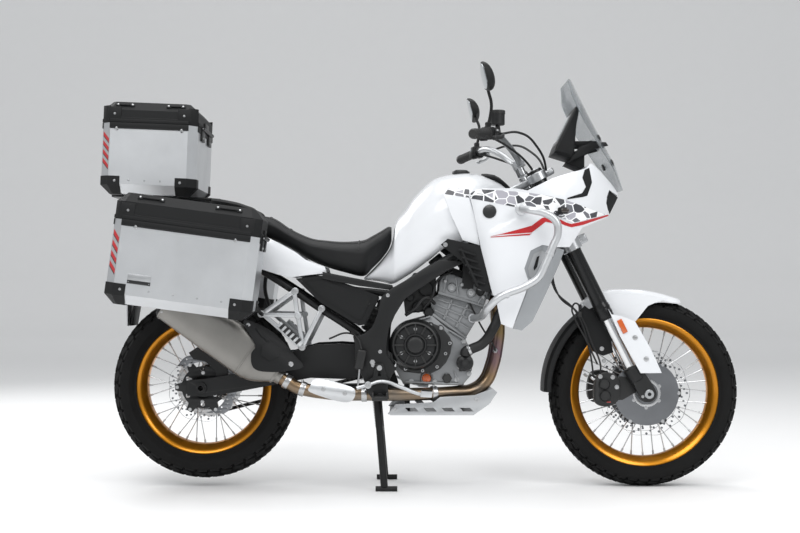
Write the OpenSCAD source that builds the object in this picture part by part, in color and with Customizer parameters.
// Adventure motorcycle parked on its centre stand, with two side cases and a top box.
// +X is forward, +Y is the rider's left, +Z is up. The origin is on the floor under the
// middle of the motorcycle. Stations are written as millimetres ahead of the rear axle.

/* [Wheels] */
// Distance between the two axles
wheelbase = 1534; // [1450:1:1700]
// Outer radius of the front tyre
front_tyre_r = 329.5; // [300:0.5:360]
// Width of the front tyre
front_tyre_w = 110; // [90:1:120]
// Radius of the front rim's flange
front_rim_r = 255; // [225:1:265]
// Outer radius of the rear tyre
rear_tyre_r = 321; // [290:0.5:335]
// Width of the rear tyre
rear_tyre_w = 150; // [120:1:158]
// Radius of the rear rim's flange
rear_rim_r = 231; // [200:1:240]
// Height of the rear tyre above the floor, on the centre stand
rear_lift = 29; // [5:1:45]
// Spokes in each wheel
spoke_count = 18; // [12:2:24]

/* [Axles] */
// Outer radius of the front axle
front_axle_r = 10; // [9:0.5:12]
// Radius of the hole along the front axle
front_axle_bore_r = 6.5; // [4:0.5:8]
// Outer radius of the rear axle
rear_axle_r = 12.5; // [11:0.5:14]
// Radius of the hole along the rear axle
rear_axle_bore_r = 9; // [5:0.5:10]
// Radial clearance of a turning fit
run_clear = 0.05; // [0.02:0.01:0.09]
// Gap between a piece and what carries it
seat_gap = 0.3; // [0.1:0.1:0.5]

/* [Steering] */
// Rake of the steering axis from upright
rake = 26.3; // [22:0.1:30]
// Horizontal distance from the steering head's top back from the front axle
head_back = 419; // [380:1:450]
// Height of the steering head's top
head_z = 1077; // [1040:1:1110]
// Distance of the fork legs ahead of the steering axis
fork_offset = 32; // [24:1:40]
// Distance between the two fork legs
fork_spread = 210; // [196:1:224]
// Radius of the fork's outer tubes
fork_r = 26; // [24:0.5:29]
// Radius of the fork's inner tubes
slider_r = 20.5; // [18:0.5:23]
// Radius of the steering stem
stem_r = 15; // [13:0.5:17]
// Half the width of the handlebar
bar_half = 420; // [380:1:450]
// Radius of the handlebar tube
bar_r = 11; // [11:0.5:14]

/* [Brakes and drive] */
// Radius of the front brake discs
front_disc_r = 150; // [130:1:160]
// Radius of the rear brake disc
rear_disc_r = 120; // [105:1:130]
// Thickness of a brake disc
disc_t = 5; // [4:0.5:6]
// Radius of the rear sprocket
sprocket_r = 118; // [95:1:125]
// Radius of the front sprocket
drive_sprocket_r = 34; // [28:1:40]
// Height of the chain's links
chain_h = 16; // [12:1:18]

/* [Frame] */
// Radius of the main frame tubes
spar_r = 19; // [15:0.5:22]
// Radius of the subframe rails
rail_r = 11; // [9:0.5:13]
// Radius of the crash bars
crash_r = 11; // [9:0.5:14]
// Radius of the rack tubes
rack_r = 7; // [5:0.5:9]

/* [Side cases] */
// Length of a side case
pannier_l = 468; // [390:1:520]
// Depth of a side case across the motorcycle
pannier_d = 232; // [190:1:260]
// Height of a side case without its lid
pannier_h = 267; // [220:1:300]
// Height of a side case's lid
pannier_lid_h = 88; // [60:1:110]
// Forward tilt of the side cases
pannier_tilt = 7.7; // [0:0.1:12]

/* [Top box] */
// Length of the top box
top_l = 322; // [270:1:380]
// Width of the top box
top_w = 400; // [330:1:470]
// Height of the top box without its lid
top_h = 236; // [200:1:270]
// Height of the top box's lid
top_lid_h = 74; // [50:1:100]
// Forward tilt of the top box
top_tilt = 2.3; // [0:0.1:6]
// Thickness of the cases' sheet walls
case_wall = 2.5; // [1.5:0.5:4]
// Chamfer along the cases' edges
case_chamfer = 30; // [15:1:45]
// Gap between a case and its lid
lid_gap = 0.5; // [0.3:0.1:1.5]

/* [Stands] */
// Radius of the stands' tubes
stand_r = 12; // [10:0.5:14]
// Height of the centre stand's pivot
stand_pivot_z = 345; // [335:1:350]
// Length of the side stand
side_stand_l = 290; // [240:1:300]

/* [Hidden] */

$fn = 32;
rear_axle_z = rear_tyre_r + rear_lift;
// The head's top station at the drawn wheelbase; stations behind it stretch with the wheelbase.
head_station = 1115;
head_x = wheelbase - head_back;
rear_end = -168 - top_l / 2;
origin_x = (wheelbase + front_tyre_r + rear_end) / 2;
pannier_in = 246;
pannier_mid = [-13, 751];
top_mid = [-168, 1128];
front_disc_y = 73;
rear_disc_y = 80;
chain_y = 91;
plate_y = 145;
arm_in = 100;
arm_out = 122;
pivot = [630, 439];
leg_y = fork_spread / 2;
lug_y = [leg_y - 17, leg_y + 23];
stand_pivot = [600, stand_pivot_z];
rail_y = 121;

// ---- helpers ----------------------------------------------------------------------------

function station(x) = x <= 0 ? x
    : x < head_station ? x * head_x / head_station
    : x + head_x - head_station;
function at(p) = [station(p[0]) - origin_x, p[1], p[2]];
function unit(v) = v / norm(v);

// Catmull-Rom curve through the points, with n steps in each stretch
function curve(p, n = 5) = concat(
    [for (i = [0 : len(p) - 2], s = [0 : n - 1])
        let (a = p[max(i - 1, 0)], b = p[i], c = p[i + 1], d = p[min(i + 2, len(p) - 1)], t = s / n)
        0.5 * (2 * b + (c - a) * t + (2 * a - 5 * b + 4 * c - d) * t * t
            + (3 * b - a - 3 * c + d) * t * t * t)],
    [p[len(p) - 1]]);
function tangents(p) = [for (i = [0 : len(p) - 1])
    unit(p[min(i + 1, len(p) - 1)] - p[max(i - 1, 0)])];
function carried(n, t) = unit(n - (n * t) * t);
function normals(t) = let (first = carried(abs(t[0][2]) < 0.9 ? [0, 0, 1] : [1, 0, 0], t[0]))
    [for (i = 0, n = first; i < len(t); i = i + 1, n = i < len(t) ? carried(n, t[i]) : n) n];

// Closed skin over rings that all have the same number of points
module skin(rings) {
    n = len(rings[0]);
    last = len(rings) - 1;
    polyhedron([for (r = rings) each r], concat(
        [[for (i = [0 : n - 1]) i]],
        [for (k = [0 : last - 1], i = [0 : n - 1])
            let (j = (i + 1) % n) each [
                [k * n + i, (k + 1) * n + i, (k + 1) * n + j],
                [k * n + i, (k + 1) * n + j, k * n + j]]],
        [[for (i = [n - 1 : -1 : 0]) last * n + i]]), convexity = 6);
}

// Bent round tube through stations
module bent(stations, r, sides = 12, steps = 4) {
    path = curve([for (p = stations) at(p)], steps);
    t = tangents(path);
    n = normals(t);
    skin([for (i = [0 : len(path) - 1]) [for (k = [0 : sides - 1])
        let (a = 360 * k / sides) path[i] + r * (cos(a) * n[i] + sin(a) * cross(t[i], n[i]))]]);
}

// Straight round bar between two stations
module bar(a, b, r) {
    v = at(b) - at(a);
    translate(at(a)) rotate([0, acos(v[2] / norm(v)), atan2(v[1], v[0])]) cylinder(r = r, h = norm(v));
}

// Plate with a side outline, from y0 to y1
module slab(outline, y0, y1) translate([-origin_x, y1, 0]) rotate([90, 0, 0])
    linear_extrude(y1 - y0) polygon([for (p = outline) [station(p[0]), p[1]]]);

// Round piece across the motorcycle
module pin(c, r, y0, y1) translate([station(c[0]) - origin_x, y1, c[1]]) rotate([90, 0, 0])
    cylinder(r = r, h = y1 - y0);

module both() {
    children();
    mirror([0, 1, 0]) children();
}

// Stretch of bodywork along the motorcycle: each section is [x, bottom, top, half width, shoulder],
// where the shoulder is the share of the height at which it is widest.
function hull_ring(s) = let (
        h = s[2] - s[1], zw = s[1] + h * s[4], w = s[3],
        half = concat([[w * 0.86, s[1]], [w * 0.98, s[1] + (zw - s[1]) * 0.35]],
            [for (k = [0 : 5]) let (a = k * 16) [w * cos(a), zw + (s[2] - zw) * sin(a)]]))
    concat([for (p = half) at([s[0], p[0], p[1]])],
        [for (i = [len(half) - 1 : -1 : 0]) at([s[0], -half[i][0], half[i][1]])]);
module bodywork(sections) skin([for (s = sections) hull_ring(s)]);

// Curved side panel: columns along x between two edges, bulged to y, t thick.
// Each column is [x, bottom, top, y at mid height, how far the edges lie inward].
module panel(columns, t, rows = 4) {
    function side(c, v, d) = at([c[0], c[3] - c[4] * pow(2 * v - 1, 2) - d, c[1] + (c[2] - c[1]) * v]);
    skin([for (c = columns) concat(
        [for (k = [0 : rows]) side(c, k / rows, 0)],
        [for (k = [rows : -1 : 0]) side(c, k / rows, t)])]);
}

// Frame of the steering axis: z up along it from the head's top, x ahead of it
module on_axis(h = 0) translate([head_x - origin_x, 0, head_z]) rotate([0, -rake, 0])
    translate([0, 0, h]) children();
function axis_at(f, h) = [head_station + f * cos(rake) - h * sin(rake),
    head_z + f * sin(rake) + h * cos(rake)];

// ---- chassis ----------------------------------------------------------------------------

head_top = -40;
side_hinge_tilt = 19.32;
// Station on the side stand's tilted hinge axis
function side_hinge_at(t) = [655, 165 + t * cos(side_hinge_tilt), 335 + t * sin(side_hinge_tilt)];
head_bottom = -260;

module main_frame() color("#1b1c1f") {
    difference() {
        union() {
            on_axis(head_bottom) cylinder(r = 30, h = head_top - head_bottom);
            both() bent([[1166, 26, 990], [1100, 50, 942], [1010, 102, 880], [880, 147, 806],
                         [760, 161, 735], [684, 163, 678], [640, 165, 600], [628, 165, 520],
                             [630, 165, 445]], spar_r);
        }
        on_axis(head_bottom - 5) cylinder(r = stem_r + run_clear, h = head_top - head_bottom + 10);
        both() pin([630, 439], 12, 140, 190);
    }
    // plates that hold the swing arm's pivot
    both() difference() {
        slab([[522, 529], [560, 535], [612, 500], [655, 470], [660, 440], [640, 405], [575, 382],
            [550, 395], [538, 456]],
             plate_y, plate_y + 30);
        pin(pivot, 12, plate_y - 1, plate_y + 31);
    }
    pin(pivot, 11.8, -(plate_y + 34), plate_y + 34);
    // cross tube that holds the shock absorber, and front hangers
    bar([646.3, -146, 640], [646.3, 146, 640], 16);
    both() slab([[898, 822], [962, 852], [930, 690], [893, 690]], 131, 139);
    // ears for the subframe
    both() pin([688, 668], 17, rail_y + rail_r + 1, 150);
    // ears for the stands
    both() slab([[572, 402], [626, 408], [618, 328], [584, 328]], 126, 137);
    both() slab([[577, 394], [622, 402], [616, 384], [580, 384]], 130, 150);
    slab([[628, 425], [650, 430], [676, 352], [672, 318], [640, 318], [628, 345]], plate_y, plate_y + 10);
    bar(side_hinge_at(-20), side_hinge_at(-3), 14);
    // stay for the headlight, dashboard and windshield
    slab([[1200, 948], [1204, 972], [1322, 1008], [1328, 1106.7], [1336.7, 1106.7], [1336.7, 975],
        [1325, 968]], -13, 13);
}

module subframe() color("#1b1c1f") {
    both() bent([[688, 121, 668], [600, 121, 678], [500, 121, 690], [400, 121, 722], [300, 118, 758],
                 [200, 112, 798], [80, 106, 842], [-50, 95, 868]], rail_r);
    both() bent([[548, 121, 522], [530, 121, 541], [406, 121, 624], [298, 119, 696], [209, 114, 752],
                 [110, 107, 815], [75, 105, 836]], rail_r);
    both() pin([548, 520], 13, rail_y - 8, plate_y - seat_gap);
    for (x = [[-45, 95, 867], [250, 115, 777], [455, 121, 703]])
        bar([x[0], -x[1], x[2]], [x[0], x[1], x[2]], 9);
}

module engine_block() color("#8b8e91") {
    difference() {
        slab([[668, 505], [668, 410], [692, 364], [895, 360], [925, 395], [925, 470], [905, 520],
              [842, 556], [790, 600], [700, 575]], -128, 128);
        slab([[660, 380], [760, 380], [760, 515], [660, 515]], 70, 130);
    }
    slab([[790, 598], [842, 554], [905, 518], [940, 576], [966, 630], [815, 676], [785, 650]], -112, 112);
    slab([[813, 674], [966, 628], [989, 687], [866, 738], [834, 744], [817, 716]], -131, 131);
    slab([[840, 742], [978, 690], [972, 722], [858, 766]], -96, 96);
    pin([700, 447], 12, 60, chain_y - 4);
}

module clutch_cover() color("#26272a") {
    slab([[690, 575], [668, 505], [668, 440], [700, 408], [790, 404], [838, 440], [858, 500], [836, 545],
        [785, 575]],
         -165, -128);
    pin([733, 500], 78, -205, -165);
    slab([[880, 410], [922, 412], [922, 460], [884, 460]], -150, -128);
    pin([902, 438], 24, -178, -150);
}

module generator_cover() color("#26272a") {
    slab([[768, 560], [766, 420], [800, 400], [880, 410], [905, 460], [890, 530], [830, 565]], 128, 160);
    pin([835, 480], 60, 160, 190);
    slab([[672, 500], [672, 410], [694, 374], [765, 372], [764, 520], [700, 525]], 128, 142);
}

module radiator() color("#232427") {
    difference() {
        slab([[1000, 840], [1042, 850], [1086, 640], [1044, 630]], -160, 160);
        slab([[1030, 800], [1050, 805], [1086, 662], [1062, 655]], -130, 130);
    }
    both() pin([1026, 846], 12, 95, 120);
    // upper hose, lower hose
    bent([[1018, -140, 826], [994, -152, 800], [976, -160, 752], [960, -160, 702], [955, -150, 682],
          [955, -132, 680]], 15);
    bent([[1056, -135, 642], [1030, -150, 620], [1000, -162, 560], [962, -164, 505], [924, -164, 486],
          [904, -164, 477], [902, -164, 462.6]], 17);
}

module exhaust_headers() color("#8f7f6d") {
    bent([[980, -45, 655], [1014, -50, 632], [1024, -56, 560], [1018, -60, 490], [1004, -64, 425],
        [976, -70, 365],
          [930, -84, 338], [860, -112, 333], [749, -152, 332], [650, -172, 332], [560, -176, 333],
          [484, -182, 334], [420, -186, 340], [370, -187, 348], [330, -185, 358], [305, -184, 372.7],
              [281.7, -184, 388.7]], 22, 12);
    bent([[980, 45, 655], [1014, 50, 632], [1024, 56, 560], [1018, 56, 490], [1004, 50, 425],
        [976, 34, 365],
          [936, 8, 338], [880, -40, 333], [840, -90, 333], [800, -128, 333]], 20, 12);
}

muffler_slope = 34.4;
// Rounded section of the muffler, at s along its axis, with half height h and half width w
function can(s, h, w) = [for (k = [0 : 23]) let (a = 15 * k, c = cos(a), d = sin(a))
    [s, w * sign(c) * pow(abs(c), 0.7), h * sign(d) * pow(abs(d), 0.7)]];
module muffler() color("#a9a8a4") translate([station(-100) - origin_x, -184, 650])
    rotate([0, muffler_slope, 0]) {
    skin([for (s = [[-6, 60, 36], [0, 68, 42], [330, 77, 44], [372, 70, 42], [410, 48, 36],
        [440, 30, 27]])
        can(s[0], s[1], s[2])]);
    translate([438, 0, 0]) rotate([0, 90, 0]) cylinder(r = 25, h = 24);
}

module skid_plate() color("#a7a9ac") {
    difference() {
        slab([[641, 266], [666, 297], [794, 304], [818, 322], [934, 328], [996, 351], [1010, 338],
            [983, 299], [930, 262],
              [650, 262]], -165, 165);
        slab([[600, 267], [650, 267], [928, 269], [978, 303], [1001, 338], [980, 400], [600, 400]], -161,
            161);
        both() for (x = [700, 760, 820, 880])
            slab([[x, 284], [x + 12, 273], [x + 46, 273], [x + 34, 284]], 150, 170);
    }
    for (p = [[706, 46], [706, -46], [900, 84]])
        translate(at([p[0], p[1], 266])) cylinder(r = 10, h = 94 - seat_gap);
}

arm_outline = [[-48, rear_axle_z - 26], [-48, rear_axle_z + 26], [10, rear_axle_z + 31], [111, 397],
    [293, 468],
               [390, 498], [475, 502], [560, 496], [636, 463], [652, 439], [636, 415], [560, 388],
                   [487, 381],
               [375, 385], [111, 335], [10, rear_axle_z - 30]];
module swing_arm() color("#202124") {
    difference() {
        union() {
            both() slab(arm_outline, arm_in, arm_out);
            pin(pivot, 26, -(plate_y - seat_gap), plate_y - seat_gap);
            slab([[348, 452], [420, 462], [430, 398], [352, 392]], -arm_in - 1, arm_in + 1);
            pin([488, 400], 14, -arm_in - 1, arm_in + 1);
        }
        pin(pivot, 12, -170, 170);
        pin([0, rear_axle_z], rear_axle_r + 0.02, -150, 150);
    }
    difference() {
        pin([0, rear_axle_z], rear_axle_r, -arm_out - 14, arm_out + 14);
        pin([0, rear_axle_z], rear_axle_bore_r, -arm_out - 20, arm_out + 20);
    }
    // the axle's flange and nut
    both() difference() {
        pin([0, rear_axle_z], 19, arm_out, arm_out + 10);
        pin([0, rear_axle_z], rear_axle_r - 1, arm_out - 1, arm_out + 11);
    }
    // rear caliper
    difference() {
        slab([for (p = [[90, 22], [86, 102], [60, 132], [-6, 146], [-46, 120], [-30, 98], [10, 90],
            [44, 62], [56, 22]])
            [p[0], rear_axle_z + p[1]]], -arm_in + 0.01, -66);
        pin([0, rear_axle_z], rear_disc_r + 3, -rear_disc_y - 4.5, -rear_disc_y + 4.5);
    }
}

module rear_shock() color("#2a2b2e") {
    pin([616, 640], 14, -15, 15);
    pin([516.3, 400], 14, -15, 15);
    bar([614, 0, 636], [518, 0, 404], 9);
    bar([598, 0, 598], [536, 0, 448], 34);
}

// Belt line around the two sprockets, d outside their pitch circles
function loop_line(d) = let (
        x = station(700), z = 447 - rear_axle_z, span = sqrt(x * x + z * z), lean = atan2(z, x),
        r0 = sprocket_r + d, r1 = drive_sprocket_r + d, open = acos((r0 - r1) / span))
    concat(
        [for (k = [0 : 24]) let (a = lean + open + (360 - 2 * open) * k / 24) [r0 * cos(a),
            rear_axle_z + r0 * sin(a)]],
        [for (k = [0 : 10]) let (a = lean - open + 2 * open * k / 10) [x + r1 * cos(a),
            447 + r1 * sin(a)]]);
module chain() color("#55524c") {
    translate([-origin_x, chain_y + 8, 0]) rotate([90, 0, 0]) linear_extrude(16) difference() {
        polygon(loop_line(chain_h + 1));
        polygon(loop_line(1));
    }
    pin([700, 447], drive_sprocket_r + 0.6, chain_y - 4, chain_y + 4);
}

// ---- bodywork ---------------------------------------------------------------------------

module fuel_tank() color("#eceded") {
    bodywork([[558, 722, 730, 88, 0.5], [612, 716, 786, 108, 0.5], [645, 708, 830, 128, 0.5],
              [657, 708, 868, 136, 0.5], [662, 709, 920, 140, 0.45], [698, 730, 963, 152, 0.45],
              [732, 752, 1011, 164, 0.45], [789, 795, 1067, 178, 0.45], [830, 828, 1085, 186, 0.45],
              [870, 840, 1091, 190, 0.45], [918, 862, 1094, 184, 0.5], [955, 882, 1090, 160, 0.5],
              [987, 898, 1083, 122, 0.5], [1015, 915, 1078, 84, 0.5], [1040, 945, 1071, 56, 0.5],
              [1066, 985, 1043, 44, 0.5]]);
    // rubber seats on the frame
    both() translate(at([760, 150, 760])) cylinder(r = 8, h = 40);
}

module seat() color("#191a1c") {
    bodywork([[70, 880, 948, 96, 0.6], [84, 878, 956, 106, 0.6], [193, 872, 945, 116, 0.6],
        [243, 858, 936, 122, 0.6],
              [300, 832, 899, 130, 0.6], [369, 790, 868, 140, 0.6], [426, 766, 859, 150, 0.6],
                  [488, 746, 855, 158, 0.6],
              [551, 733, 859, 142, 0.6], [582, 762, 873, 120, 0.6], [612, 791, 890, 98, 0.6],
              [639, 826, 906, 80, 0.6], [654, 866, 904, 66, 0.6]]);
    both() translate(at([430, 121, 726])) cylinder(r = 8, h = 50);
    both() translate(at([200, 104, 813.5])) cylinder(r = 8, h = 72);
}

module tail_panels() color("#eceded") both() {
    panel([[-60, 881, 925, 112, 6], [40, 862, 912, 134, 8], [100, 830, 900, 142, 8], [194, 752, 876, 152,
        10],
           [236, 748, 862, 156, 10], [275, 738, 843, 157, 10], [326, 732, 815, 157, 8],
               [360, 736, 789, 156, 5],
           [422, 741, 764, 153, 3], [434, 743, 756, 152, 2]], 3);
    pin([300, 758], 7, 129.6, 151.5);
    pin([120, 828], 7, 119.6, 137.4);
}

module side_covers() color("#1d1e20") both() {
    slab([[326, 725], [429, 736], [444, 723], [554, 687], [604, 666], [606, 655], [562, 568], [540, 565],
        [407, 646]],
         144, 152);
    pin([500, 690], 7, rail_y + rail_r + seat_gap, 144);
    pin([460, 626], 7, rail_y + 2, 144);
}

module side_shrouds() {
    color("#eceded") both() difference() {
        panel([[905, 960, 1040, 205, 12], [930, 905, 1046, 226, 14], [960, 800, 1046, 242, 16],
            [985, 690, 1044, 250, 14],
               [1000, 650, 1040, 254, 12], [1020, 572, 1036, 257, 10], [1055, 562, 1028, 259, 10],
               [1085, 553, 1026, 260, 10], [1127, 588, 1030, 259, 10], [1160, 655, 1045, 255, 12],
               [1195, 735, 1060, 248, 14], [1228, 818, 1072, 238, 16]], 4);
        pin([1082, 954], 15, 220, 300);
    }
    // inner wings that reach the frame
    color("#232427") both() {
        slab([[818, 837], [841, 857], [950, 832], [978, 700], [942, 697], [898, 776]], 196, 220);
        bar([930, 200, 832], [930, 155, 832], 8);
        bar([1046, 252.3, 700], [1046, 160.4, 700], 8);
    }
}

module nose_fairing() {
    color("#eceded") {
        both() panel([[1229, 826, 1074, 237, 14], [1250, 832, 1084, 228, 14], [1278, 872, 1094, 214, 14],
                      [1308, 897, 1098, 196, 14], [1337, 910, 1112, 174, 14], [1370, 924, 1086, 142, 14],
                      [1401, 940, 1060, 106, 10], [1425, 990, 1040, 76, 6], [1450, 1008, 1020, 40, 3]],
                          4);
        skin([for (s = [[1306, 166, 1098], [1337, 158, 1115], [1370, 128, 1089], [1401, 96, 1063],
            [1425, 68, 1043],
                        [1456, 24, 1017]])
            concat([for (y = [1, 0.5, 0, -0.5, -1]) at([s[0], s[1] * y, s[2] + 5 * (1 - y * y)])],
                   [for (y = [-1, -0.5, 0, 0.5, 1]) at([s[0], s[1] * y, s[2] - 6 + 3 * (1 - y * y)])])]);
    }
}

module headlight() color("#3a3c40") {
    skin([for (s = [[1337, 120, 950, 1006], [1368, 112, 950, 1008], [1398, 86, 952, 1008],
        [1418, 58, 972, 1006],
                    [1430, 34, 992, 1004]])
        concat([for (y = [-1, 0, 1]) at([s[0], s[1] * y, s[2]])],
            [for (y = [1, 0, -1]) at([s[0], s[1] * y, s[3]])])]);
}

// Point of the windshield: v up it, u across it, d behind its outer face
function glass(v, u, d) = let (w = lookup(v, [[0, 60], [0.25, 128], [0.6, 150], [0.85, 138], [1, 92]]))
    at([lookup(v, [[0, 1462], [0.22, 1434], [0.65, 1344], [1, 1277]]) - 42 * pow(w * u / 150, 2) - d,
        w * u,
        1034 + 392 * v - 18 * u * u * v]);
module windshield() color("#5b6066", 0.6) skin([for (v = [0 : 0.125 : 1]) concat(
    [for (u = [-1 : 0.25 : 1]) glass(v, u, 0)],
    [for (u = [1 : -0.25 : -1]) glass(v, u, 4)])]);

module dashboard() color("#17181a") {
    slab([[1212, 1160], [1290, 1322], [1302, 1316], [1290, 1250], [1284, 1160], [1276, 1140]], -85, 85);
    slab([[1262, 1125], [1280, 1150], [1322, 1160], [1322, 1112.5], [1308, 1104.8]], -60, 60);
    // arms that hold the windshield
    both() slab([[1280, 1188], [1280, 1202], [1376, 1202], [1376, 1188]], 58, 72);
}

module crash_bars() color("#b4b6b8") both() {
    bent([[1082, 280, 954], [1112, 312, 948], [1160, 318, 936], [1192, 318, 912], [1199, 318, 875],
          [1181, 318, 828], [1158, 318, 773], [1134, 318, 726], [1096, 318, 700], [1008, 316, 662],
          [972, 298, 628], [955, 240, 600], [935, 160, 590], [930, 128, 590]], crash_r);
    pin([1082, 954], 12, 79, 300);
    pin([930, 590], 16, 112 + seat_gap, 134);
}

module foot_gear() {
    color("#b4b6b8") both() {
        slab([[570, 350], [560, 372], [592, 392], [602, 436], [622, 436], [636, 392], [642, 322],
            [592, 318]], 212, 222);
        pin([612, 425], 9, plate_y + 30 + seat_gap, 212);
        slab([[588, 320], [588, 344], [640, 344], [640, 320]], 222, 300);
    }
    // brake pedal on the right, gear lever on the left
    color("#c5c7c9") both() {
        pin([574, 368], 10, 222, 240);
        bent([[536, 232, 358], [574, 232, 368], [622, 232, 380], [687, 232, 360], [748, 232, 338],
            [760, 232, 338]], 6, 8);
        slab([[748, 330], [752, 350], [790, 348], [786, 328]], 218, 262);
    }
}

// Flat bar between two points of the side view, w wide
module strip(a, b, w, y0, y1) let (n = w / 2 * unit([a[1] - b[1], b[0] - a[0]]))
    slab([a + n, b + n, b - n, a - n], y0, y1);
module peg_brackets() color("#c5c7c9") both() {
    for (s = [[[325, 684], [210, 602]], [[206, 603], [340, 600]], [[334, 594], [322, 684]],
        [[212, 608], [350, 488]],
              [[346, 486], [416, 624]], [[350, 500], [334, 606]]])
        strip(s[0], s[1], 14, 160, 172);
    pin([325, 680], 9, rail_y + rail_r - 1.5 + seat_gap, 172);
    pin([412, 620], 9, rail_y + rail_r + seat_gap, 172);
    slab([[268, 566], [276, 580], [352, 506], [344, 494]], 172, 196);
}

// ---- luggage ----------------------------------------------------------------------------

module rear_rack() color("#202124") {
    // plate below the top box, with its two arms
    translate(at([top_mid[0], 0, top_mid[1]])) rotate([0, top_tilt, 0])
        translate([0, 0, -top_h / 2 - 8 - seat_gap])
        linear_extrude(8) difference() {
            polygon([[-120, -105], [-140, -85], [-140, 85], [-120, 105], [200, 120], [235, 90],
                [235, -90], [200, -120]]);
            for (x = [-90 : 60 : 30], y = [-55, 15]) translate([x, y]) square([40, 40]);
        }
    both() bent([[36, 112, 996], [90, 124, 984], [150, 128, 968], [188, 128, 948], [194, 128, 900],
        [184, 126, 840],
                 [178, 124, 818.6]], 9, 8);
    both() bent([[-60, 94, 998], [-62, 94, 960], [-56, 94, 910], [-52, 94, 879.4]], 8, 8);
    // hoops that carry the side cases
    both() {
        bent([[-190, 238.6, 860], [-185, 238.6, 884], [-160, 238.6, 892], [0, 238.6, 869],
            [170, 238.6, 844],
              [196, 238.6, 832], [200, 238.6, 806], [184, 238.6, 700], [190, 234, 660], [208, 215, 615],
              [214, 190, 605], [214, 173.6, 604]], rack_r, 8);
        bent([[-160, 236, 890], [-140, 180, 868], [-75, 140, 866], [-50, 122, 867], [-50, 108, 867]],
            rack_r, 8);
        bent([[170, 236, 844], [180, 190, 880], [190, 150, 905], [194, 128, 912]], rack_r, 8);
    }
}

// Six-sided outline of a case seen from above or from the side
function chamfered(l, w, c) = [[-l / 2 + c, -w / 2], [l / 2 - c, -w / 2], [l / 2, -w / 2 + c],
    [l / 2, w / 2 - c],
                               [l / 2 - c, w / 2], [-l / 2 + c, w / 2], [-l / 2, w / 2 - c],
                                   [-l / 2, -w / 2 + c]];
// Block with chamfered upright corners and chamfers along its lower or upper edges
module block(l, w, h, c, down) intersection() {
    linear_extrude(h) polygon(chamfered(l, w, c));
    translate([0, 0, down ? 0 : -h]) rotate([90, 0, 0]) translate([0, h, -w / 2]) linear_extrude(w)
        polygon([for (p = chamfered(l, 2 * h, c)) p]);
}
module case_box(l, w, h) difference() {
    block(l, w, h, case_chamfer, true);
    translate([0, 0, case_wall]) block(l - 2 * case_wall, w - 2 * case_wall, h, case_chamfer, true);
}
module case_lid(l, w, h) difference() {
    block(l, w, h, case_chamfer, false);
    translate([0, 0, -case_wall]) block(l - 2 * case_wall, w - 2 * case_wall, h, case_chamfer, false);
}
// Hinge leaf and knuckles at the front end of a case's upper edge
module hinge_side(l, w, z, lift) for (s = lift ? [0] : [-1, 1]) translate([l / 2 + 9, s * w * 0.2, z]) {
    rotate([90, 0, 0]) cylinder(r = 6, h = w * 0.18, center = true);
    translate([-9, -w * 0.09, lift ? 0 : -16]) cube([9, w * 0.18, 16]);
}

module side_case() translate([pannier_mid[0] - origin_x, pannier_in + pannier_d / 2, pannier_mid[1]])
    rotate([0, pannier_tilt, 0]) translate([0, 0, -pannier_h / 2]) children();
module case_body(l, w, h) {
    difference() {
        union() {
            case_box(l, w, h);
            hinge_side(l, w, h, false);
        }
        translate([l / 2 + 9, 0, h]) rotate([90, 0, 0]) cylinder(r = 3, h = w, center = true);
    }
}
module case_top(l, w, h, lid_h) {
    translate([0, 0, h + lid_gap]) case_lid(l, w, lid_h - lid_gap);
    difference() {
        hinge_side(l, w, h, true);
        translate([l / 2, -w / 2, h - 20]) cube([3, w, 20 + lid_gap]);
    }
    translate([l / 2 + 9, 0, h]) rotate([90, 0, 0]) cylinder(r = 3 - run_clear, h = w * 0.58,
        center = true);
}
module case_right() color("#c3c5c8") mirror([0, 1, 0]) side_case() case_body(pannier_l, pannier_d,
    pannier_h);
module case_left() color("#c3c5c8") side_case() case_body(pannier_l, pannier_d, pannier_h);
module lid_right() color("#1b1c1e") mirror([0, 1, 0]) side_case() case_top(pannier_l, pannier_d,
    pannier_h, pannier_lid_h);
module lid_left() color("#1b1c1e") side_case() case_top(pannier_l, pannier_d, pannier_h, pannier_lid_h);

module top_place() translate(at([top_mid[0], 0, top_mid[1]])) rotate([0, top_tilt, 0])
    translate([0, 0, -top_h / 2])
    children();
module top_box() color("#c3c5c8") top_place() case_body(top_l, top_w, top_h);
module top_box_lid() color("#1b1c1e") top_place() case_top(top_l, top_w, top_h, top_lid_h);

module rear_mudguard() color("#1b1c1e") {
    // tray under the seat, lamp and plate holder
    slab([[-110, 886], [-104, 898], [-30, 888], [40, 868], [150, 838], [196, 806], [190, 796],
        [146, 826], [40, 856],
          [-44, 876.4]], -78, 78);
    slab([[-112, 905], [-128, 872], [-108, 858], [-88, 872], [-92, 905]], -60, 60);
    slab([[-116, 868], [-235, 690], [-257, 560], [-251, 560], [-228, 688], [-104, 862]], -60, 60);
    slab([[-262, 690], [-262, 560], [-254.5, 560], [-254.5, 690]], -90, 90);
}

// ---- stands -----------------------------------------------------------------------------

module centre_stand() color("#1b1c1e") {
    both() {
        difference() {
            pin(stand_pivot, 16, 100, 126 - seat_gap);
            pin(stand_pivot, 6, 90, 140);
        }
        bar([601, 112, stand_pivot_z - 12], [628, 148, 14], stand_r);
        bar([598, 148, 9], [672, 148, 9], 9);
    }
    bar([613.5, -128, 190], [613.5, 128, 190], 10);
}

module side_stand() color("#1b1c1e") {
    bar(side_hinge_at(seat_gap - 3), side_hinge_at(22), 14);
    bar([650, 176, 338], [655 - side_stand_l + 20, 186, 334], 10);
    slab([[652 - side_stand_l, 318], [652 - side_stand_l, 350], [682 - side_stand_l, 350],
        [682 - side_stand_l, 318]],
         176, 198);
}

// ---- steering ---------------------------------------------------------------------------

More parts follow.
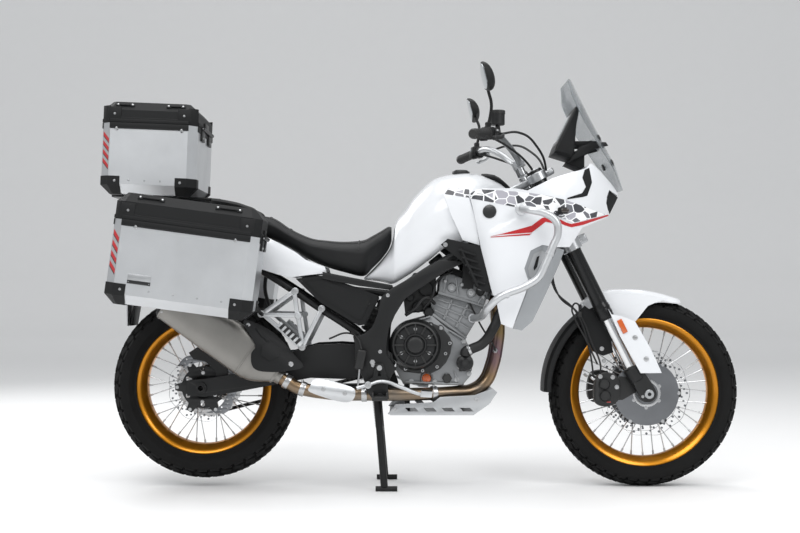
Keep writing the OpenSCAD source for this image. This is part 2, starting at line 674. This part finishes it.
// Outline of a triple clamp across the two legs and the stem
module clamp_outline() difference() {
    union() {
        polygon([[-30, -34], [fork_offset - 22, -leg_y], [fork_offset + 30, -leg_y], [34, 0],
                 [fork_offset + 30, leg_y], [fork_offset - 22, leg_y], [-30, 34]]);
        for (s = [-1, 1]) translate([fork_offset, s * leg_y]) circle(r = fork_r + 9);
        circle(r = 32);
    }
    for (s = [-1, 1]) translate([fork_offset, s * leg_y]) circle(r = fork_r + 0.02);
}
module triple_clamps() color("#b9bbbd") {
    on_axis(-35) linear_extrude(30) clamp_outline();
    on_axis(-300) linear_extrude(38) clamp_outline();
    on_axis(-300) cylinder(r = stem_r, h = 300);
}

slider_end = (330 - head_z - fork_offset * sin(rake) + 55) / cos(rake);
module fork_legs() {
    color("#161719") on_axis() both() translate([fork_offset, leg_y, -560]) cylinder(r = fork_r, h = 566);
    color("#c9cbcd") on_axis() both() translate([fork_offset, leg_y, slider_end]) cylinder(r = slider_r,
        h = -560 - slider_end);
    color("#3a3b3e") both() difference() {
        slab([[wheelbase - 78, front_tyre_r + 92], [wheelbase - 32, front_tyre_r + 92],
            [wheelbase + 12, front_tyre_r + 36],
              [wheelbase + 26, front_tyre_r - 10], [wheelbase, front_tyre_r - 26],
                  [wheelbase - 28, front_tyre_r - 18],
              [wheelbase - 62, front_tyre_r + 50]], lug_y[0], lug_y[1]);
        pin([wheelbase, front_tyre_r], front_axle_r + 0.02, lug_y[0] - 1, lug_y[1] + 1);
    }
    color("#c9cbcd") difference() {
        pin([wheelbase, front_tyre_r], front_axle_r, -lug_y[1] - 3, lug_y[1] + 3);
        pin([wheelbase, front_tyre_r], front_axle_bore_r, -lug_y[1] - 5, lug_y[1] + 5);
    }
}

bar_bend = [975, 300, 1202];
bar_end = [921, bar_half, 1187];
function along_bar(t) = bar_bend + (bar_end - bar_bend) * t;
module handlebar() color("#b9bbbd") {
    half = [[1098, 45, 1125], [1080, 100, 1146], [1040, 170, 1184], [1002, 240, 1206], bar_bend,
            along_bar(0.1), bar_end];
    bent(concat([for (i = [len(half) - 1 : -1 : 0]) [half[i][0], -half[i][1], half[i][2]]], half), bar_r);
    both() translate(at([axis_at(6.5, -5)[0], 34, axis_at(6.5, -5)[1]])) rotate([0, -rake, 0])
        cylinder(r = 13, h = 48);
}

module sleeve(t0, t1, r, side) mirror([0, side, 0]) difference() {
    bar(along_bar(t0), along_bar(t1), r);
    bar(along_bar(t0 - 0.1), along_bar(t1 + 0.2), bar_r + 0.4);
}
module controls() color("#17181a") {
    for (s = [0, 1]) {
        sleeve(0.2, 1.04, 16.5, s);
        sleeve(0.05, 0.18, 21, s);
        // lever ahead of the grip
        mirror([0, s, 0]) bent([[987, 312, 1200], [1012, 317, 1196], [1018, 345, 1189], [1004, 385, 1180],
                                [984, 415, 1175]], 5, 8);
    }
    // brake fluid reservoir on the right
    translate(at([1012, -226, 1215])) cylinder(r = 7, h = 22);
    translate(at([1006, -236, 1236])) cylinder(r = 25, h = 48);
}

module mirrors() color("#17181a") both() {
    bent([[970, 311, 1226], [978, 312, 1262], [980, 322, 1296], [970, 344, 1330], [962, 366, 1350]], 5,
        8);
    translate(at([970, 311, 1222.8])) cylinder(r = 6, h = 6);
    skin([for (s = [[-74, 8, 10], [-66, 22, 26], [-30, 28, 40], [20, 28, 46], [58, 22, 36], [70, 9, 14]])
        [for (k = [0 : 11]) let (a = -30 * k)
            at([956 + s[1] * cos(a) - 0.25 * s[2] * sin(a), 402 + s[0], 1372 + s[2] * sin(a)])]]);
}

fender_in = front_tyre_r + 18;
module fender_arc(from, to, inner, outer, half) translate([wheelbase - origin_x, 0, front_tyre_r])
    rotate([90, 0, 0])
    rotate([0, 0, from]) rotate_extrude(angle = to - from) difference() {
        polygon([[inner - 22, -half], [outer - 14, -half], [outer, -half * 0.6], [outer, half * 0.6],
                 [outer - 14, half], [inner - 22, half]]);
        polygon([[inner - 30, -half + 4], [inner - 14, -half + 4], [inner, -half * 0.58],
            [inner, half * 0.58],
                 [inner - 14, half - 4], [inner - 30, half - 4]]);
    }
module front_fender() {
    color("#eceded") fender_arc(69, 121, fender_in, fender_in + 10, 70);
    color("#1b1c1e") fender_arc(121.05, 179, fender_in, fender_in + 8, 70);
    // brackets to the legs, and leg guards
    color("#eceded") both() {
        slab([[1366, 640], [1404, 656], [1470, 660], [1480, 600], [1440, 560], [1392, 572]], 66,
            leg_y - fork_r - seat_gap);
        slab([[1404, 602], [1485, 579], [1539, 485], [1577, 402], [1545, 380], [1500, 402]],
            lug_y[1] + seat_gap, lug_y[1] + 8);
    }
}

module front_brake() color("#2a2b2d") both() {
    difference() {
        slab([[1368, 392], [1352, 360], [1350, 312], [1368, 286], [1412, 290], [1436, 320], [1430, 380],
            [1405, 398]],
             60, leg_y - 7);
        pin([wheelbase, front_tyre_r], front_disc_r + 3, front_disc_y - 3, front_disc_y + disc_t + 3);
    }
    slab([[1420, 300], [1424, 372], [1505, 372], [1490, 330]], front_disc_y + disc_t + 3,
        lug_y[0] - seat_gap);
}

// ---- wheels -----------------------------------------------------------------------------

module wheel_place(x, z) translate([x - origin_x, 0, z]) rotate([90, 0, 0]) children();
// Half the distance between the rim's flanges, for a tyre of width w
function bead(w) = 0.33 * w;
module tyre(r, w, rim) let (b = bead(w), h = r - rim) rotate_extrude() polygon(concat(
    [[rim - 10, -b + seat_gap], [rim + 1.5, -b + seat_gap], [rim + 3.5, -b - 6], [rim + h * 0.36, -w / 2],
     [rim + h * 0.62, -w / 2]],
    [for (k = [-4 : 4]) [r - 0.23 * w * pow(k / 4, 2), k * w * 0.113]],
    [[rim + h * 0.62, w / 2], [rim + h * 0.36, w / 2], [rim + 3.5, b + 6], [rim + 1.5, b - seat_gap],
     [rim - 10, b - seat_gap]]));
module rim(r, w) let (b = bead(w),
    outer = [[r + 1, b + 4], [r + 1, b], [r - 10.3, b], [r - 11, b * 0.75], [r - 24, b * 0.5]],
    inner = [[r - 30, 0], [r - 29, b * 0.55], [r - 16, b * 0.85], [r - 8, b + 4]])
    rotate_extrude() polygon(concat(
        [for (q = outer) q], [for (i = [len(outer) - 1 : -1 : 0]) [outer[i][0], -outer[i][1]]],
        [for (i = [len(inner) - 1 : -1 : 1]) [inner[i][0], -inner[i][1]]], inner));
module spokes(hub_r, rim_r, flange) for (k = [0 : spoke_count - 1]) {
    turn = k % 2 == 0 ? 1 : -1;
    side = floor(k / 2) % 2 == 0 ? 1 : -1;
    a = 360 * k / spoke_count;
    p0 = [hub_r * cos(a + 24 * turn), hub_r * sin(a + 24 * turn), side * flange];
    p1 = [rim_r * cos(a), rim_r * sin(a), 0];
    v = p1 - p0;
    translate(p0) rotate([0, acos(v[2] / norm(v)), atan2(v[1], v[0])]) cylinder(r = 2.5, h = norm(v),
        $fn = 16);
}

module front_tyre() color("#1a1a1a") wheel_place(wheelbase, front_tyre_r) tyre(front_tyre_r,
    front_tyre_w, front_rim_r);
module front_rim() color("#b8862c") wheel_place(wheelbase, front_tyre_r) {
    rim(front_rim_r, front_tyre_w);
    spokes(30, front_rim_r - 27, 34);
    rotate_extrude() polygon([[front_axle_r + run_clear, -67], [26, -67], [26, -46], [38, -40],
        [38, -30], [24, -24], [24, 24],
                              [38, 30], [38, 40], [26, 46], [26, 67], [front_axle_r + run_clear, 67]]);
    for (s = [-1, 1]) translate([0, 0, s * (front_disc_y + disc_t / 2)]) difference() {
        union() {
            cylinder(r = front_disc_r, h = disc_t, center = true);
            translate([0, 0, -s * 5]) cylinder(r = 58, h = 10, center = true);
        }
        cylinder(r = front_axle_r + run_clear, h = 60, center = true);
        for (k = [0 : 9]) rotate(36 * k) translate([88, 0]) cylinder(r = 17, h = 30, center = true,
            $fn = 20);
    }
}
module rear_tyre() color("#1a1a1a") wheel_place(0, rear_axle_z) tyre(rear_tyre_r, rear_tyre_w,
    rear_rim_r);
module rear_rim() color("#b8862c") wheel_place(0, rear_axle_z) {
    rim(rear_rim_r, rear_tyre_w);
    spokes(38, rear_rim_r - 27, 38);
    rotate_extrude() polygon([[rear_axle_r + run_clear, -88], [45, -88], [45, -50], [48, -44], [48, -34],
        [30, -28], [30, 28],
                              [48, 34], [48, 44], [45, 50], [45, 78], [rear_axle_r + run_clear, 78]]);
    // sprocket on the left, disc on the right
    translate([0, 0, -chain_y]) difference() {
        cylinder(r = sprocket_r, h = 7, center = true);
        cylinder(r = rear_axle_r + run_clear, h = 20, center = true);
        for (k = [0 : 4]) rotate(72 * k) translate([78, 0]) cylinder(r = 24, h = 20, center = true);
    }
    translate([0, 0, rear_disc_y]) difference() {
        cylinder(r = rear_disc_r, h = disc_t, center = true);
        cylinder(r = rear_axle_r + run_clear, h = 20, center = true);
        for (k = [0 : 5]) rotate(60 * k) translate([70, 0]) cylinder(r = 18, h = 20, center = true);
    }
}

main_frame();
subframe();
engine_block();
clutch_cover();
generator_cover();
radiator();
exhaust_headers();
muffler();
skid_plate();
swing_arm();
rear_shock();
chain();
fuel_tank();
seat();
tail_panels();
side_covers();
side_shrouds();
nose_fairing();
headlight();
windshield();
dashboard();
crash_bars();
foot_gear();
peg_brackets();
rear_rack();
rear_mudguard();
case_right();
case_left();
top_box();
top_box_lid();
lid_right();
lid_left();
centre_stand();
side_stand();
triple_clamps();
fork_legs();
handlebar();
controls();
mirrors();
front_fender();
front_brake();
front_tyre();
front_rim();
rear_tyre();
rear_rim();
